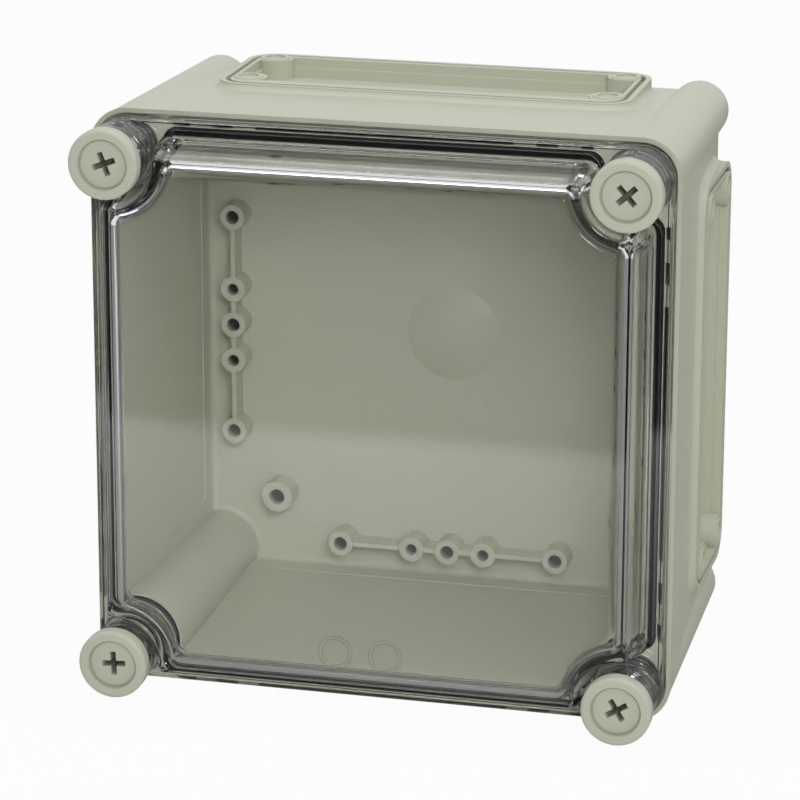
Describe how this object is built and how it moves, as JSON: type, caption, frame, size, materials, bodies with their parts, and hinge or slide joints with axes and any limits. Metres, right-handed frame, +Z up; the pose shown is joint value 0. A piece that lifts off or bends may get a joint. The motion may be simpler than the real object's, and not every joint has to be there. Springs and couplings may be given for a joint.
{
  "type": "electrical enclosure",
  "caption": "Square wall-mounting enclosure with a clear raised cover, captive corner screws, a sealed rim and a blind flanged collar on each side.",
  "frame": {"origin": "middle of the bottom of the bounding box", "axes": "+Z up, -Y out of the window towards the viewer, +X to the viewer's right"},
  "size_m": [0.1876, 0.1284, 0.1875],
  "materials": {
    "housing": "moulded light grey plastic, satin",
    "clear_cover": "clear polished plastic with a faint smoky tint",
    "gasket": "black soft foam rubber",
    "cover_screw": "moulded light grey plastic, finely satin",
    "screw_clip": "moulded pale plastic",
    "thread_insert": "turned brass"
  },
  "bodies": {
    "box": {"base_box": "housing", "cover_gasket": "gasket", "thread_insert_top_left": "thread_insert", "thread_insert_top_right": "thread_insert", "thread_insert_bottom_left": "thread_insert", "thread_insert_bottom_right": "thread_insert"},
    "cover": {"clear_cover": "clear_cover"},
    "clip_top_left": {"screw_clip_top_left": "screw_clip"},
    "screw_top_left": {"cover_screw_top_left": "cover_screw"},
    "clip_top_right": {"screw_clip_top_right": "screw_clip"},
    "screw_top_right": {"cover_screw_top_right": "cover_screw"},
    "clip_bottom_left": {"screw_clip_bottom_left": "screw_clip"},
    "screw_bottom_left": {"cover_screw_bottom_left": "cover_screw"},
    "clip_bottom_right": {"screw_clip_bottom_right": "screw_clip"},
    "screw_bottom_right": {"cover_screw_bottom_right": "cover_screw"}
  },
  "joints": [
    {"name": "cover_lift", "type": "slide", "parent": "box", "child": "cover", "axis": [0, -1, 0], "range_m": [0, 0.06]},
    {"name": "clip_travel_top_left", "type": "slide", "parent": "cover", "child": "clip_top_left", "axis": [0, -1, 0], "range_m": [0, 0.0091]},
    {"name": "screw_turn_top_left", "type": "hinge", "parent": "clip_top_left", "child": "screw_top_left", "pos_m": [-0.08125, -0.06425, 0.175], "axis": [0, -1, 0], "range_deg": [0, 3240]},
    {"name": "clip_travel_top_right", "type": "slide", "parent": "cover", "child": "clip_top_right", "axis": [0, -1, 0], "range_m": [0, 0.0091]},
    {"name": "screw_turn_top_right", "type": "hinge", "parent": "clip_top_right", "child": "screw_top_right", "pos_m": [0.08125, -0.06425, 0.175], "axis": [0, -1, 0], "range_deg": [0, 3240]},
    {"name": "clip_travel_bottom_left", "type": "slide", "parent": "cover", "child": "clip_bottom_left", "axis": [0, -1, 0], "range_m": [0, 0.0091]},
    {"name": "screw_turn_bottom_left", "type": "hinge", "parent": "clip_bottom_left", "child": "screw_bottom_left", "pos_m": [-0.08125, -0.06425, 0.0125], "axis": [0, -1, 0], "range_deg": [0, 3240]},
    {"name": "clip_travel_bottom_right", "type": "slide", "parent": "cover", "child": "clip_bottom_right", "axis": [0, -1, 0], "range_m": [0, 0.0091]},
    {"name": "screw_turn_bottom_right", "type": "hinge", "parent": "clip_bottom_right", "child": "screw_bottom_right", "pos_m": [0.08125, -0.06425, 0.0125], "axis": [0, -1, 0], "range_deg": [0, 3240]}
  ],
  "couplings": [
    {"joint": "clip_travel_top_left", "follows": "screw_turn_top_left", "m_per_rad": 0.00015915},
    {"joint": "clip_travel_top_right", "follows": "screw_turn_top_right", "m_per_rad": 0.00015915},
    {"joint": "clip_travel_bottom_left", "follows": "screw_turn_bottom_left", "m_per_rad": 0.00015915},
    {"joint": "clip_travel_bottom_right", "follows": "screw_turn_bottom_right", "m_per_rad": 0.00015915}
  ]
}
